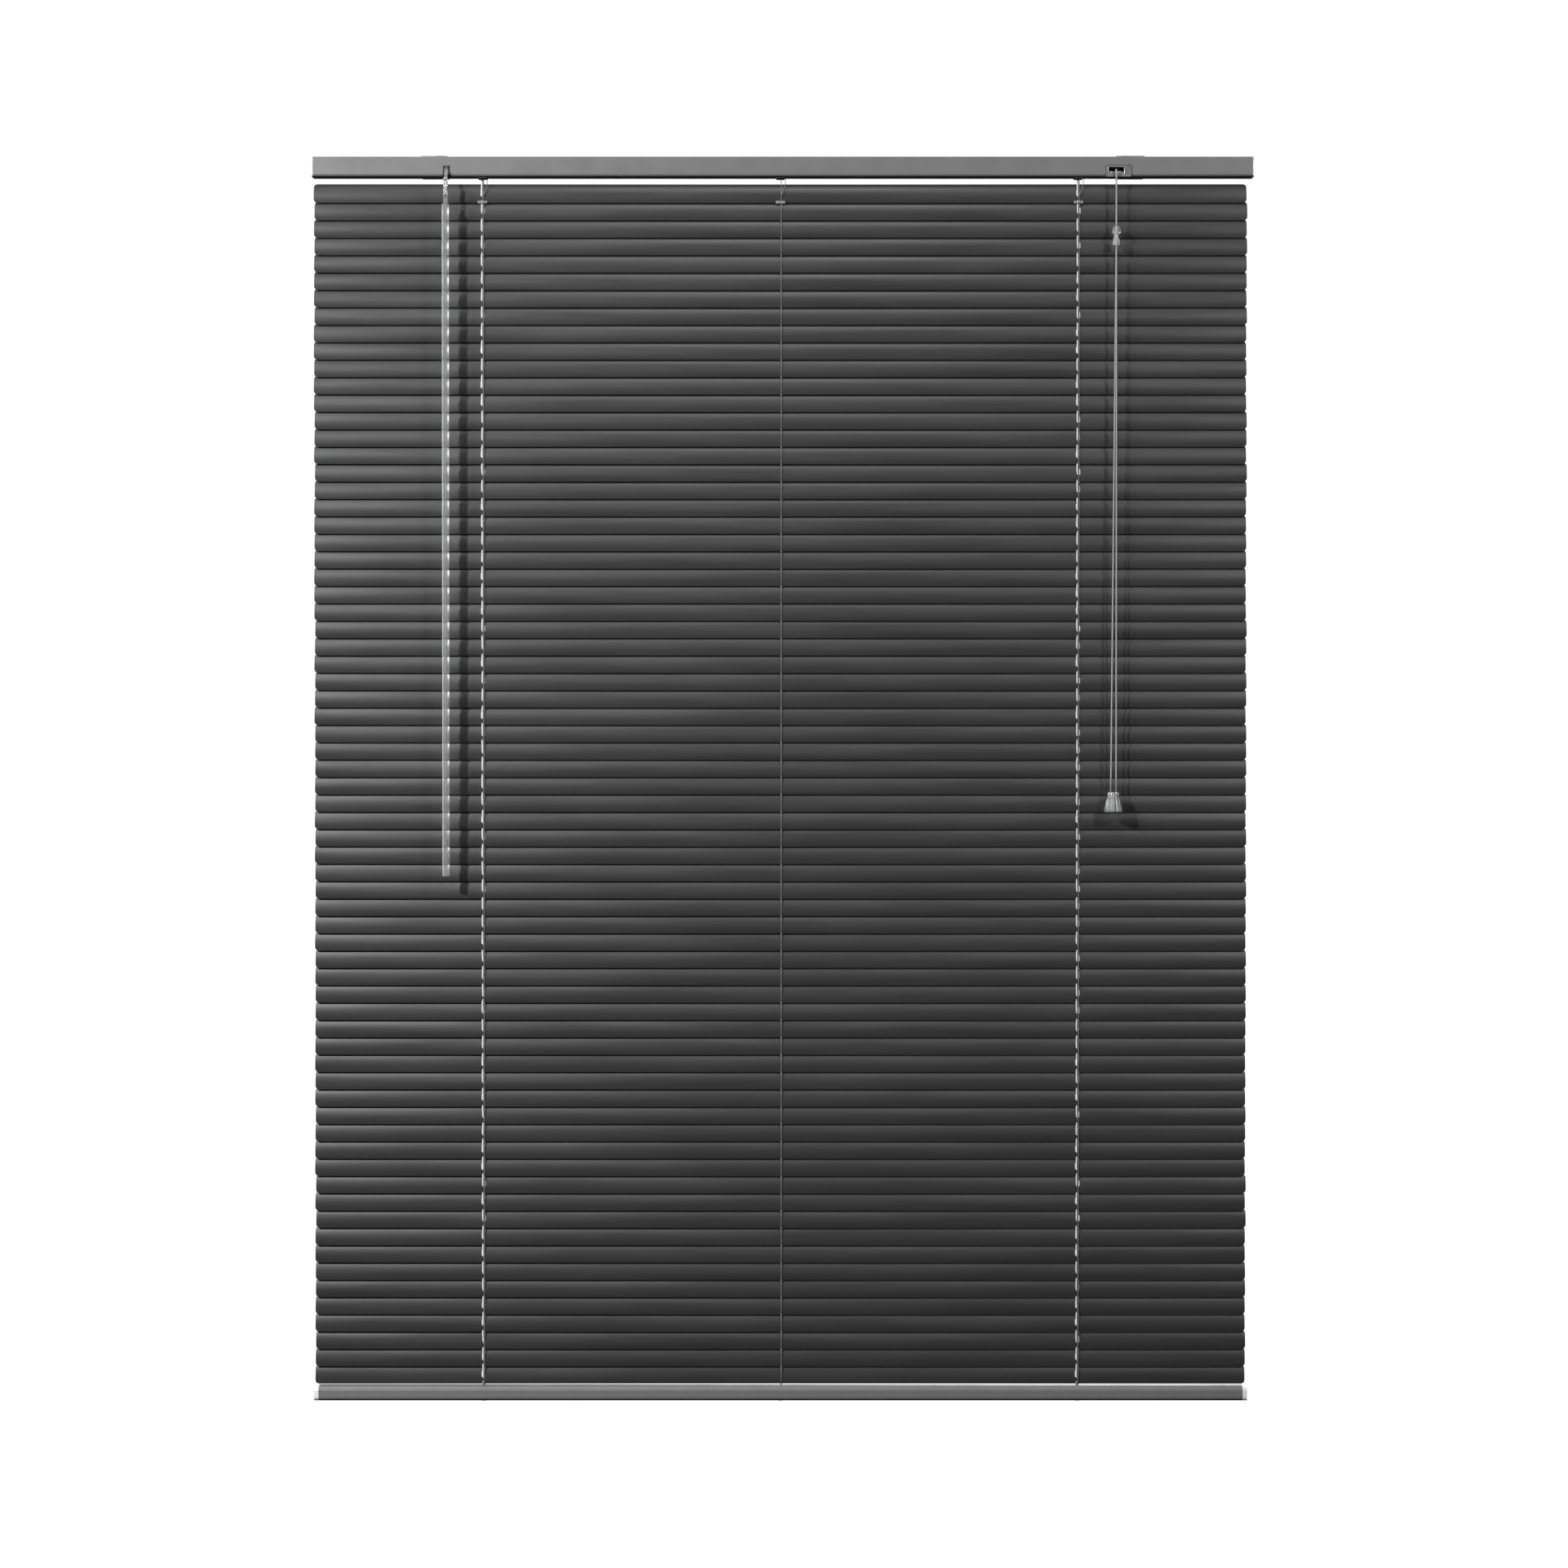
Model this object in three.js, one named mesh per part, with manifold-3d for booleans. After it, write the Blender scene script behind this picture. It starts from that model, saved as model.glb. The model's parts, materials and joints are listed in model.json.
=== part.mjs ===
// A venetian blind, 1200 mm wide with a drop of about 1.59 m, hanging closed on a wall.
// Millimetres, +X to the right, +Y into the wall, +Z up. The origin lies on the wall plane,
// behind the middle of the head rail and level with the rail's mid-height.
import * as THREE from "three";
import { mergeVertices } from "three/addons/utils/BufferGeometryUtils.js";
import Module from "manifold-3d";

const wasm = await Module();
wasm.setup();

// ---------------------------------------------------------------- driving dimensions

const FIT = 0.3; // gap between neighbouring pieces

const RAIL = { length: 1200, depth: 25, height: 25, wall: 0.6, corner: 3, lip: 3 };
const RAIL_Y = -14.3; // the rail's centre line, in front of the wall
const CAP = { plate: 1.5, plug: 7, clear: 0.2 };
const STEM_NOTCH = { halfX: 4.7, back: -7, top: 1 }; // where the tilter's stem leaves the rail
const LOCK_NOTCH = { inset: 2, back: -9, top: 3 };
const LADDER_HOLE = { halfX: 6, halfY: 9, top: -11 };

const BRACKET = { x: 443, width: 35, sheet: 1.5, arm: 23.3, hook: 2.3, screwX: 9, screwR: 2.25 };

const CURTAIN_X = -3; // the slats' middle, a little left of the rail's
const LADDER_XS = [-380, 0, 380].map((x) => CURTAIN_X + x);
const LADDER_NAMES = ["left", "middle", "right"];

const SLAT = {
  count: 69,
  length: 1190,
  chord: 24.56, // a 25 mm strip, measured straight across its crown
  crown: 2,
  middle: 10, // width of the facet between the two sloping ones
  sheet: 0.21,
  corner: 4,
  pitch: 22.2,
  firstZ: -32.6, // centre of the top slat
  closed: THREE.MathUtils.degToRad(80), // from level, front edge down
};
const ROUTE = { width: 4, length: 9.6 }; // the slot in a slat that a lift cord runs through
const ROUTED = [0, 2]; // ladders that have a lift cord beside them
const LINK = { from: 6, width: 3, front: -2.4, back: 1.75, height: 0.8 };

const STRING = { width: 1, front: -3.5, back: 3.05, thick: 0.9 };
const DRUM = { radius: 7, bore: 3.9, width: 10 };
const ROD = { across: 6, from: -446, to: 392 };
const WHEEL = { radius: 4.3, width: 8 };

const WAND = { x: -428, y: -43, radius: 4.5, top: -42.5, bottom: -903 };
const WORM = { distance: 7, radius: 2.4, stem: 1.9, ball: 3, lean: Math.PI / 4 };
const TILTER = { halfX: 13, front: -11.5, back: 8, bottom: -11.5, top: 9 };

const LOCK = { from: 409, to: 446, front: -11.5, back: 4, bottom: -11.5, top: 2 };
const PLATE = { inset: 2.4, front: -13.3, back: -11, bottom: -13.2, top: 2.6 };
const HOUSING_CORNER = 2.2; // rounding of both housings' long edges
const MOUTH = { from: 415, to: 434, back: -0.5, bottom: -9.5, top: -1 };
const ROLLER = { radius: 2.2, from: 416.5, to: 432.5, y: -6, z: -6.5 };

const CORD = { radius: 0.9, sides: 8, stepsBetween: 3 };
const TASSEL = { x: 421.3, y: -32.1, top: -796.4, bottom: -821.8, topR: 7.2, bottomR: 11.9 };
const JOINER = { x: 424.1, y: -32.1, bore: 2.6 };

const BASE = {
  length: 1181,
  depth: 24,
  height: 18.5,
  wall: 0.8,
  corner: 5,
  top: -1556.6,
  cap: 6,
  plug: 10,
};

// ---------------------------------------------------------------- finishes

function finish(color, roughness, metalness) {
  return new THREE.MeshStandardMaterial({ color, roughness, metalness });
}

const PAINTED_GREY = finish(0x8a8a8c, 0.45, 0.3);
const CHARCOAL = finish(0x39393b, 0.4, 0.3);
const PALE_PLASTIC = finish(0xcfd0d0, 0.35, 0);
const DARK_PLASTIC = finish(0x2c2c2e, 0.5, 0);
const GREY_PLASTIC = finish(0x5a5a5b, 0.4, 0);
const CLEAR_PLASTIC = finish(0xe6eaec, 0.1, 0);
const STEEL = finish(0xa6a8aa, 0.35, 0.9);
const CORD_GREY = finish(0xa9a9a9, 0.85, 0);
const LADDER_GREY = finish(0x77777a, 0.9, 0);

// ---------------------------------------------------------------- shape helpers

// A geometry that already shares its vertices is taken as it stands; any other has them merged.
function sharedVertices(geometry) {
  if (geometry.userData.shared) return geometry;
  const g = geometry.index ? geometry.toNonIndexed() : geometry.clone();
  g.deleteAttribute("normal");
  g.deleteAttribute("uv");
  return mergeVertices(g, 1e-4);
}

function solidOf(geometry) {
  const merged = sharedVertices(geometry);
  return new wasm.Manifold(
    new wasm.Mesh({
      numProp: 3,
      vertProperties: merged.attributes.position.array,
      triVerts: new Uint32Array(merged.index.array),
    }),
  );
}

function geometryOf(solid) {
  const made = solid.getMesh();
  const g = new THREE.BufferGeometry();
  g.setAttribute("position", new THREE.BufferAttribute(made.vertProperties, 3));
  g.setIndex(new THREE.BufferAttribute(made.triVerts, 1));
  g.computeVertexNormals();
  g.userData.shared = true;
  return g;
}

const join = (...pieces) => geometryOf(pieces.map(solidOf).reduce((a, b) => a.add(b)));
const cut = (piece, ...tools) =>
  geometryOf(tools.map(solidOf).reduce((a, b) => a.subtract(b), solidOf(piece)));
const common = (a, b) => geometryOf(solidOf(a).intersect(solidOf(b)));

// Points on an arc about (u, v), both ends included.
function arc(u, v, radius, from, to, steps) {
  return Array.from({ length: steps + 1 }, (_, i) => {
    const a = from + ((to - from) * i) / steps;
    return [u + radius * Math.cos(a), v + radius * Math.sin(a)];
  });
}

function roundedRect(halfU, halfV, radius, steps) {
  const q = Math.PI / 2;
  return [
    [1, 1],
    [-1, 1],
    [-1, -1],
    [1, -1],
  ].flatMap(([su, sv], i) => {
    const [u, v] = [su * (halfU - radius), sv * (halfV - radius)];
    return arc(u, v, radius, i * q, (i + 1) * q, steps);
  });
}

function shapeOf(outline, holes = []) {
  const shape = new THREE.Shape(outline.map(([u, v]) => new THREE.Vector2(u, v)));
  shape.holes = holes.map((hole) => new THREE.Path(hole.map(([u, v]) => new THREE.Vector2(u, v))));
  return shape;
}

// A (y, z) outline carried along X.
function prismX(outline, from, to, holes = []) {
  const g = new THREE.ExtrudeGeometry(shapeOf(outline, holes), { depth: to - from, bevelEnabled: false });
  const turned = new THREE.Matrix4().makeBasis(
    new THREE.Vector3(0, 1, 0),
    new THREE.Vector3(0, 0, 1),
    new THREE.Vector3(1, 0, 0),
  );
  return g.applyMatrix4(turned).translate(from, 0, 0);
}

// An (x, y) outline carried along Z.
function prismZ(outline, from, to) {
  const g = new THREE.ExtrudeGeometry(shapeOf(outline), { depth: to - from, bevelEnabled: false });
  return g.translate(0, 0, from);
}

function box(low, high) {
  const size = high.map((h, i) => h - low[i]);
  return new THREE.BoxGeometry(...size).translate(...low.map((l, i) => (l + high[i]) / 2));
}

// A box whose four edges along X are rounded.
function softBox(low, high, corner) {
  const [halfY, halfZ] = [1, 2].map((i) => (high[i] - low[i]) / 2);
  const [midY, midZ] = [low[1] + halfY, low[2] + halfZ];
  const outline = roundedRect(halfY, halfZ, corner, 2).map(([u, v]) => [u + midY, v + midZ]);
  return prismX(outline, low[0], high[0]);
}

function rodX(radius, from, to, sides) {
  const rod = new THREE.CylinderGeometry(radius, radius, to - from, sides);
  return rod.rotateZ(Math.PI / 2).translate((from + to) / 2, 0, 0);
}

// A (radius, z) profile turned about Z.
const turned = (profile, sides) =>
  new THREE.LatheGeometry(
    profile.map(([r, z]) => new THREE.Vector2(r, z)),
    sides,
  ).rotateX(Math.PI / 2);

const blind = new THREE.Group();

function place(name, geometry, material, x = 0, y = 0, z = 0) {
  const mesh = new THREE.Mesh(geometry, material);
  mesh.name = name;
  mesh.position.set(x, y, z);
  blind.add(mesh);
  return mesh;
}

// ---------------------------------------------------------------- head rail and wall brackets

// An open-topped channel with rounded lower edges and lips turned inwards.
function railOutline() {
  const y = RAIL.depth / 2;
  const z = RAIL.height / 2;
  const { wall, corner, lip } = RAIL;
  const inner = corner - wall;
  const steps = 3;
  return [
    [y - lip, z],
    [y - lip, z - wall],
    [y - wall, z - wall],
    ...arc(y - corner, corner - z, inner, 0, -Math.PI / 2, steps),
    ...arc(corner - y, corner - z, inner, -Math.PI / 2, -Math.PI, steps),
    [wall - y, z - wall],
    [lip - y, z - wall],
    [lip - y, z],
    [-y, z],
    ...arc(corner - y, corner - z, corner, Math.PI, 1.5 * Math.PI, steps),
    ...arc(y - corner, corner - z, corner, -Math.PI / 2, 0, steps),
    [y, z],
  ];
}

function headRail() {
  const half = RAIL.length / 2 - CAP.plate - FIT;
  const below = -RAIL.height / 2 - 1;
  const infront = -RAIL.depth / 2 - 1;
  const stemNotch = box(
    [WAND.x - STEM_NOTCH.halfX, infront, below],
    [WAND.x + STEM_NOTCH.halfX, STEM_NOTCH.back, STEM_NOTCH.top],
  );
  const lockNotch = box(
    [LOCK.from + LOCK_NOTCH.inset, infront, below],
    [LOCK.to - LOCK_NOTCH.inset, LOCK_NOTCH.back, LOCK_NOTCH.top],
  );
  const { halfX, halfY, top } = LADDER_HOLE;
  const ladderHoles = LADDER_XS.map((x) => box([x - halfX, -halfY, below], [x + halfX, halfY, top]));
  return cut(prismX(railOutline(), -half, half), stemNotch, lockNotch, ...ladderHoles);
}

// A plate over the channel's end, with a plug inside it. The plate stands at +X.
function endCap() {
  const y = RAIL.depth / 2;
  const z = RAIL.height / 2;
  const end = RAIL.length / 2;
  const clear = RAIL.wall + FIT + CAP.clear;
  const plate = prismX(
    [
      ...arc(RAIL.corner - y, RAIL.corner - z, RAIL.corner, Math.PI, 1.5 * Math.PI, 3),
      ...arc(y - RAIL.corner, RAIL.corner - z, RAIL.corner, -Math.PI / 2, 0, 3),
      [y, z],
      [-y, z],
    ],
    end - CAP.plate,
    end,
  );
  const reach = y - clear;
  const plug = prismX(
    [
      ...arc(RAIL.corner - reach, RAIL.corner - z + clear, RAIL.corner, Math.PI, 1.5 * Math.PI, 3),
      ...arc(reach - RAIL.corner, RAIL.corner - z + clear, RAIL.corner, -Math.PI / 2, 0, 3),
      [reach, z - clear],
      [-reach, z - clear],
    ],
    end - CAP.plate - CAP.plug,
    end - CAP.plate + 0.1,
  );
  return join(plate, plug);
}

// A folded strip: flat on the wall, over the rail, and hooked under the rail's front lip.
function bracket() {
  const { sheet, arm, hook } = BRACKET;
  const top = RAIL.height / 2 + 0.4 + sheet;
  const under = RAIL.height / 2 - RAIL.wall - 0.7;
  const strip = prismX(
    [
      [0, -RAIL.height / 2],
      [0, top],
      [-arm, top],
      [-arm, under],
      [-arm - hook, under],
      [-arm - hook, under - sheet],
      [sheet - arm, under - sheet],
      [sheet - arm, top - sheet],
      [-sheet, top - sheet],
      [-sheet, -RAIL.height / 2],
    ],
    -BRACKET.width / 2,
    BRACKET.width / 2,
  );
  const screws = [-1, 1].map((side) =>
    new THREE.CylinderGeometry(BRACKET.screwR, BRACKET.screwR, 6, 12).translate(side * BRACKET.screwX, 0, 0),
  );
  return cut(strip, ...screws);
}

place("head_rail", headRail(), PAINTED_GREY, 0, RAIL_Y, 0);
place("right_end_cap", endCap(), PALE_PLASTIC, 0, RAIL_Y, 0);
place("left_end_cap", endCap(), PALE_PLASTIC, 0, RAIL_Y, 0).rotation.z = Math.PI;
place("left_bracket", bracket(), STEEL, -BRACKET.x, 0, 0);
place("right_bracket", bracket(), STEEL, BRACKET.x, 0, 0);

// ---------------------------------------------------------------- tilter, rod and drums

// The worm crosses in front of and above the rod, and its stem slopes down and out of the rail.
const wormAxis = new THREE.Vector3(0, -Math.sin(WORM.lean), -Math.cos(WORM.lean));
const [leanCos, leanSin] = [Math.cos(WORM.lean), Math.sin(WORM.lean)];
const wormFoot = new THREE.Vector3(0, -WORM.distance * leanCos, WORM.distance * leanSin);
const stemLength = (wormFoot.y - (WAND.y - RAIL_Y)) / Math.sin(WORM.lean);

function alongWorm(geometry, from) {
  const turn = new THREE.Quaternion().setFromUnitVectors(new THREE.Vector3(0, 1, 0), wormAxis);
  return geometry.applyQuaternion(turn).translate(
    ...wormFoot
      .clone()
      .addScaledVector(wormAxis, from)
      .toArray(),
  );
}

const wormRod = (radius, from, to, sides) =>
  alongWorm(new THREE.CylinderGeometry(radius, radius, to - from, sides), (from + to) / 2);

function tilterHousing() {
  const block = softBox(
    [-TILTER.halfX, TILTER.front, TILTER.bottom],
    [TILTER.halfX, TILTER.back, TILTER.top],
    HOUSING_CORNER,
  );
  const rodBore = rodX(WHEEL.radius + 0.5, -TILTER.halfX - 1, TILTER.halfX + 1, 16);
  const wormBore = wormRod(WORM.radius + 0.5, -6, 20, 12);
  return cut(block, rodBore, wormBore);
}

function tilterWorm() {
  const ball = alongWorm(new THREE.SphereGeometry(WORM.ball, 12, 8), stemLength);
  return join(wormRod(WORM.radius, -5, 5, 12), wormRod(WORM.stem, 4.5, stemLength, 12), ball);
}

function tiltRod() {
  const corner = ROD.across / 2 / Math.cos(Math.PI / 6);
  const wheel = rodX(WHEEL.radius, WAND.x - WHEEL.width / 2, WAND.x + WHEEL.width / 2, 18);
  return join(rodX(corner, ROD.from, ROD.to, 6), wheel);
}

function ladderDrum() {
  const half = DRUM.width / 2;
  const { radius, bore } = DRUM;
  const groove = radius - 1.2;
  return turned(
    [
      [bore, -half],
      [radius, -half],
      [radius, 1.5 - half],
      [groove, 2.5 - half],
      [groove, half - 2.5],
      [radius, half - 1.5],
      [radius, half],
      [bore, half],
      [bore, -half],
    ],
    12,
  ).rotateY(Math.PI / 2);
}

place("tilter_housing", tilterHousing(), DARK_PLASTIC, WAND.x, RAIL_Y, 0);
place("tilter_worm", tilterWorm(), CLEAR_PLASTIC, WAND.x, RAIL_Y, 0);
place("tilt_rod", tiltRod(), STEEL, 0, RAIL_Y, 0);
LADDER_XS.forEach((x, i) => {
  place(`ladder_drum_${LADDER_NAMES[i]}`, ladderDrum(), DARK_PLASTIC, x, RAIL_Y, 0);
});

// ---------------------------------------------------------------- wand

const stemEndZ = wormFoot.z - stemLength * Math.cos(WORM.lean);

// Hangs under the stem's ball: a cupped head, a neck and a ring for the wand.
function wandHook() {
  const top = stemEndZ - WORM.ball - 0.6;
  const low = WAND.top + FIT;
  return turned(
    [
      [0, low],
      [2.4, low],
      [3.6, low + 2],
      [3.6, low + 4],
      [1.7, low + 7],
      [1.7, top - 4],
      [2.8, top - 2],
      [2.8, top],
      [0, top],
    ],
    12,
  );
}

function tiltWand() {
  const { radius, top, bottom } = WAND;
  return turned(
    [
      [0, bottom],
      [radius * 0.8, bottom],
      [radius, bottom + 2],
      [radius, top - 3],
      [radius * 0.55, top],
      [0, top],
    ],
    6,
  );
}

place("wand_hook", wandHook(), CLEAR_PLASTIC, WAND.x, WAND.y, 0);
place("tilt_wand", tiltWand(), CLEAR_PLASTIC, WAND.x, WAND.y, 0);

// ---------------------------------------------------------------- cord lock

function lockHousing() {
  const { from, to, front, back, bottom, top } = LOCK;
  const body = softBox([from, front, bottom], [to, back, top], HOUSING_CORNER);
  const plate = box(
    [from + PLATE.inset, PLATE.front, PLATE.bottom],
    [to - PLATE.inset, PLATE.back, PLATE.top],
  );
  const mouth = box([MOUTH.from, PLATE.front - 1, MOUTH.bottom], [MOUTH.to, MOUTH.back, MOUTH.top]);
  return cut(join(body, plate), mouth);
}

place("cord_lock_housing", lockHousing(), GREY_PLASTIC, 0, RAIL_Y, 0);
const roller = rodX(ROLLER.radius, ROLLER.from, ROLLER.to, 16);
place("cord_lock_roller", roller, STEEL, 0, RAIL_Y + ROLLER.y, ROLLER.z);

// ---------------------------------------------------------------- slats

// One slat lying level: its crown up, its rounded corners and its slots cut square through.
function levelSlat() {
  const half = SLAT.chord / 2;
  const reach = half + 1;
  const radius = (half * half + SLAT.crown * SLAT.crown) / (2 * SLAT.crown);
  const side = (offset) =>
    [-reach, -SLAT.middle / 2, SLAT.middle / 2, reach].map((y) => [
      y,
      Math.sqrt(radius * radius - y * y) - (radius - SLAT.crown) + offset,
    ]);
  const section = [...side(-SLAT.sheet / 2), ...side(SLAT.sheet / 2).reverse()];
  const strip = prismX(section, -SLAT.length / 2 - 1, SLAT.length / 2 + 1);
  const plan = prismZ(roundedRect(SLAT.length / 2, half, SLAT.corner, 1), -4, 4);
  const [halfX, halfY] = [ROUTE.width / 2, ROUTE.length / 2];
  const slots = ROUTED.map((i) => LADDER_XS[i] - CURTAIN_X).map((x) =>
    box([x - halfX, -halfY, -4], [x + halfX, halfY, 4]),
  );
  return cut(common(strip, plan), ...slots);
}

const closedSlat = levelSlat().rotateX(SLAT.closed);

// Two neighbouring slats, held by one small link beside the middle ladder. The origin is midway between them.
function slatPair() {
  const { from, width, front, back, height } = LINK;
  const link = box([from, front, -height / 2], [from + width, back, height / 2]);
  const [upper, lower] = [0.5, -0.5].map((n) => closedSlat.clone().translate(0, 0, n * SLAT.pitch));
  return join(upper, lower, link);
}

const pairGeometry = slatPair();
for (let first = 1; first < SLAT.count; first += 2) {
  const label = [first, first + 1].map((n) => String(n).padStart(2, "0")).join("_");
  const z = SLAT.firstZ - (first - 0.5) * SLAT.pitch;
  place(`slats_${label}`, pairGeometry, CHARCOAL, CURTAIN_X, RAIL_Y, z);
}
const lowestZ = SLAT.firstZ - (SLAT.count - 1) * SLAT.pitch;
place("slat_69", closedSlat, CHARCOAL, CURTAIN_X, RAIL_Y, lowestZ);

// ---------------------------------------------------------------- ladders

// A front and a back string, closed under the drum and just above the bottom rail.
function ladder() {
  const { width, front, back, thick } = STRING;
  const low = BASE.top + FIT;
  const high = -DRUM.radius - 0.5;
  const half = thick / 2;
  const loop = (grow) => [
    [front - grow, low + half - grow],
    [back + grow, low + half - grow],
    [back + grow, high - half + grow],
    [front - grow, high - half + grow],
  ];
  return prismX(loop(half), -width / 2, width / 2, [loop(-half)]);
}

LADDER_XS.forEach((x, i) => place(`ladder_${LADDER_NAMES[i]}`, ladder(), LADDER_GREY, x, RAIL_Y, 0));

// ---------------------------------------------------------------- pull cords, joiner and tassel

// Each route leaves the lock's mouth, turns down, runs through the joiner and ends on the tassel.
const CORD_ENDS = TASSEL.top + FIT;
const PULL_ROUTES = {
  pull_cord_left: [
    [424.1, -23, -6.2],
    [424.1, -26, -6.2],
    [424.1, -28.6, -6.9],
    [424.1, -30.4, -9],
    [424.1, -31, -12.5],
    [424.1, -31.1, -20],
    [424.1, -31.1, -45],
    [424.1, -31.1, -76],
    [424.1, -31.1, -102],
    [423.3, -31.3, -180],
    [422.4, -31.6, -290],
    [421.3, -31.9, -408],
    [420.2, -32.1, -530],
    [419, -32.1, -670],
    [417.9, -32.1, CORD_ENDS],
  ],
  pull_cord_right: [
    [424.1, -23, -3.9],
    [424.1, -27, -3.9],
    [424.1, -30.2, -4.8],
    [424.1, -32.4, -7.6],
    [424.1, -33, -12],
    [424.1, -33.1, -20],
    [424.1, -33.1, -45],
    [424.1, -33.1, -76],
    [424.1, -33.1, -102],
    [424.2, -32.9, -180],
    [424.4, -32.6, -290],
    [424.5, -32.3, -408],
    [424.6, -32.1, -530],
    [424.6, -32.1, -670],
    [424.6, -32.1, CORD_ENDS],
  ],
};

function pullCord(route) {
  const path = new THREE.CatmullRomCurve3(
    route.map((p) => new THREE.Vector3(...p)),
    false,
    "centripetal",
  );
  // Each two points of the route get the same number of steps, so the short bend stays smooth.
  path.getPointAt = path.getPoint;
  path.getTangentAt = path.getTangent;
  const section = arc(0, 0, CORD.radius, 0, 2 * Math.PI, CORD.sides).slice(0, -1);
  return new THREE.ExtrudeGeometry(shapeOf(section), {
    extrudePath: path,
    steps: CORD.stepsBetween * (route.length - 1),
    bevelEnabled: false,
  });
}

// A dome over a narrower collar, bored through for both cords.
function cordJoiner() {
  const b = JOINER.bore;
  return turned(
    [
      [b, -101],
      [3.6, -101],
      [4.4, -98.5],
      [4.4, -94],
      [3.4, -91.5],
      [3.4, -86],
      [5.6, -85.5],
      [5.6, -83.5],
      [5, -80],
      [3.6, -77.4],
      [b, -76.6],
      [b, -101],
    ],
    14,
  );
}

function tassel() {
  const { top, bottom, topR, bottomR } = TASSEL;
  return turned(
    [
      [0, bottom],
      [bottomR, bottom],
      [bottomR, bottom + 1.5],
      [topR + 1, top - 5],
      [topR, top],
      [0, top],
    ],
    18,
  );
}

for (const [name, route] of Object.entries(PULL_ROUTES)) place(name, pullCord(route), CORD_GREY);
place("cord_joiner", cordJoiner(), CLEAR_PLASTIC, JOINER.x, JOINER.y, 0);
place("tassel", tassel(), CLEAR_PLASTIC, TASSEL.x, TASSEL.y, 0);

// ---------------------------------------------------------------- bottom rail

const baseZ = BASE.top - BASE.height / 2;

// A hollow section with rounded edges.
function bottomRail() {
  const y = BASE.depth / 2;
  const z = BASE.height / 2;
  const { wall, corner, length } = BASE;
  return prismX(roundedRect(y, z, corner, 3), -length / 2, length / 2, [
    roundedRect(y - wall, z - wall, corner - wall, 3),
  ]);
}

// A block with the rail's own outline, and a plug inside the rail. The block stands at +X.
function bottomCap() {
  const y = BASE.depth / 2;
  const z = BASE.height / 2;
  const end = BASE.length / 2;
  const clear = BASE.wall + FIT;
  const block = prismX(roundedRect(y, z, BASE.corner, 3), end + FIT, end + BASE.cap);
  const inside = roundedRect(y - clear, z - clear, BASE.corner - clear, 3);
  const plug = prismX(inside, end - BASE.plug, end + FIT + 0.1);
  return join(block, plug);
}

place("bottom_rail", bottomRail(), PAINTED_GREY, CURTAIN_X, RAIL_Y, baseZ);
place("bottom_cap_right", bottomCap(), PALE_PLASTIC, CURTAIN_X, RAIL_Y, baseZ);
place("bottom_cap_left", bottomCap(), PALE_PLASTIC, CURTAIN_X, RAIL_Y, baseZ).rotation.z = Math.PI;

export default blind;
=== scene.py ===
"""Looks of a closed venetian blind with dark slats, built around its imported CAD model.

Metres, +Z up, +Y into the wall.
"""
import itertools
import json
import math
import random

import bpy
from mathutils import Matrix, Vector


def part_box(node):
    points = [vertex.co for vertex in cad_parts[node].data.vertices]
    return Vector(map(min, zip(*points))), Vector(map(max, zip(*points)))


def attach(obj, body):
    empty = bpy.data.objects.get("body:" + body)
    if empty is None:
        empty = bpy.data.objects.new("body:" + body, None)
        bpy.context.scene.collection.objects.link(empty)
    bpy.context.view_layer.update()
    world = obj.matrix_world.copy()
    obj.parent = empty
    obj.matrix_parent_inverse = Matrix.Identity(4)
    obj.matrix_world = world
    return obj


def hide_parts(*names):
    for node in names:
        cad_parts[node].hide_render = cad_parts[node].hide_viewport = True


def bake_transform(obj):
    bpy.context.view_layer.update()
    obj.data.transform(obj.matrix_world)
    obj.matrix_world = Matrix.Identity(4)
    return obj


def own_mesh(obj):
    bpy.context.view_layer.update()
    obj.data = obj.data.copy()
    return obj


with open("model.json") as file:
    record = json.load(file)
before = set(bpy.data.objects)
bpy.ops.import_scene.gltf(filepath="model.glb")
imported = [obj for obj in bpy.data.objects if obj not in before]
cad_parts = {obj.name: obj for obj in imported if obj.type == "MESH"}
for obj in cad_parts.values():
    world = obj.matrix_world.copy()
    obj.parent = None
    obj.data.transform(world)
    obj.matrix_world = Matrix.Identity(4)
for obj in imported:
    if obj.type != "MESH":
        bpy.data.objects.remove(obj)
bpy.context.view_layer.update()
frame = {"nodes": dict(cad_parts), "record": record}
MM = 0.001

# ---------------------------------------------------------------- places from the frame, and slat sizes


def middle(node):
    low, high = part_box(node)
    return (low + high) / 2


RAIL_LOW, RAIL_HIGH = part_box("head_rail")
RAIL_Y = middle("head_rail").y
BASE_LOW, BASE_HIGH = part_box("bottom_rail")
SIDES = ("left", "middle", "right")
LADDER_X = {side: middle(f"ladder_{side}").x for side in SIDES}
LOWEST_SLAT = "slat_69"
CURTAIN_X = middle(LOWEST_SLAT).x
SLAT_COUNT = 69
PAIRS = sorted(n for n in frame["nodes"] if n.startswith("slats_"))
PITCH = (middle(PAIRS[0]).z - middle(PAIRS[-1]).z) / (2 * (len(PAIRS) - 1))
FIRST_Z = middle(PAIRS[0]).z + PITCH / 2
SLAT_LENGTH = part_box(LOWEST_SLAT)[1].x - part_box(LOWEST_SLAT)[0].x
CHORD = 24.56 * MM
CROWN = 2 * MM
CLOSED = math.radians(80)


def slat_body(number):
    if number == SLAT_COUNT:
        return LOWEST_SLAT
    first = number - 1 + number % 2
    return f"slats_{first:02d}_{first + 1:02d}"


def slat_centre(number):
    return Vector((CURTAIN_X, RAIL_Y, FIRST_Z - (number - 1) * PITCH))


# ---------------------------------------------------------------- camera

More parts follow.
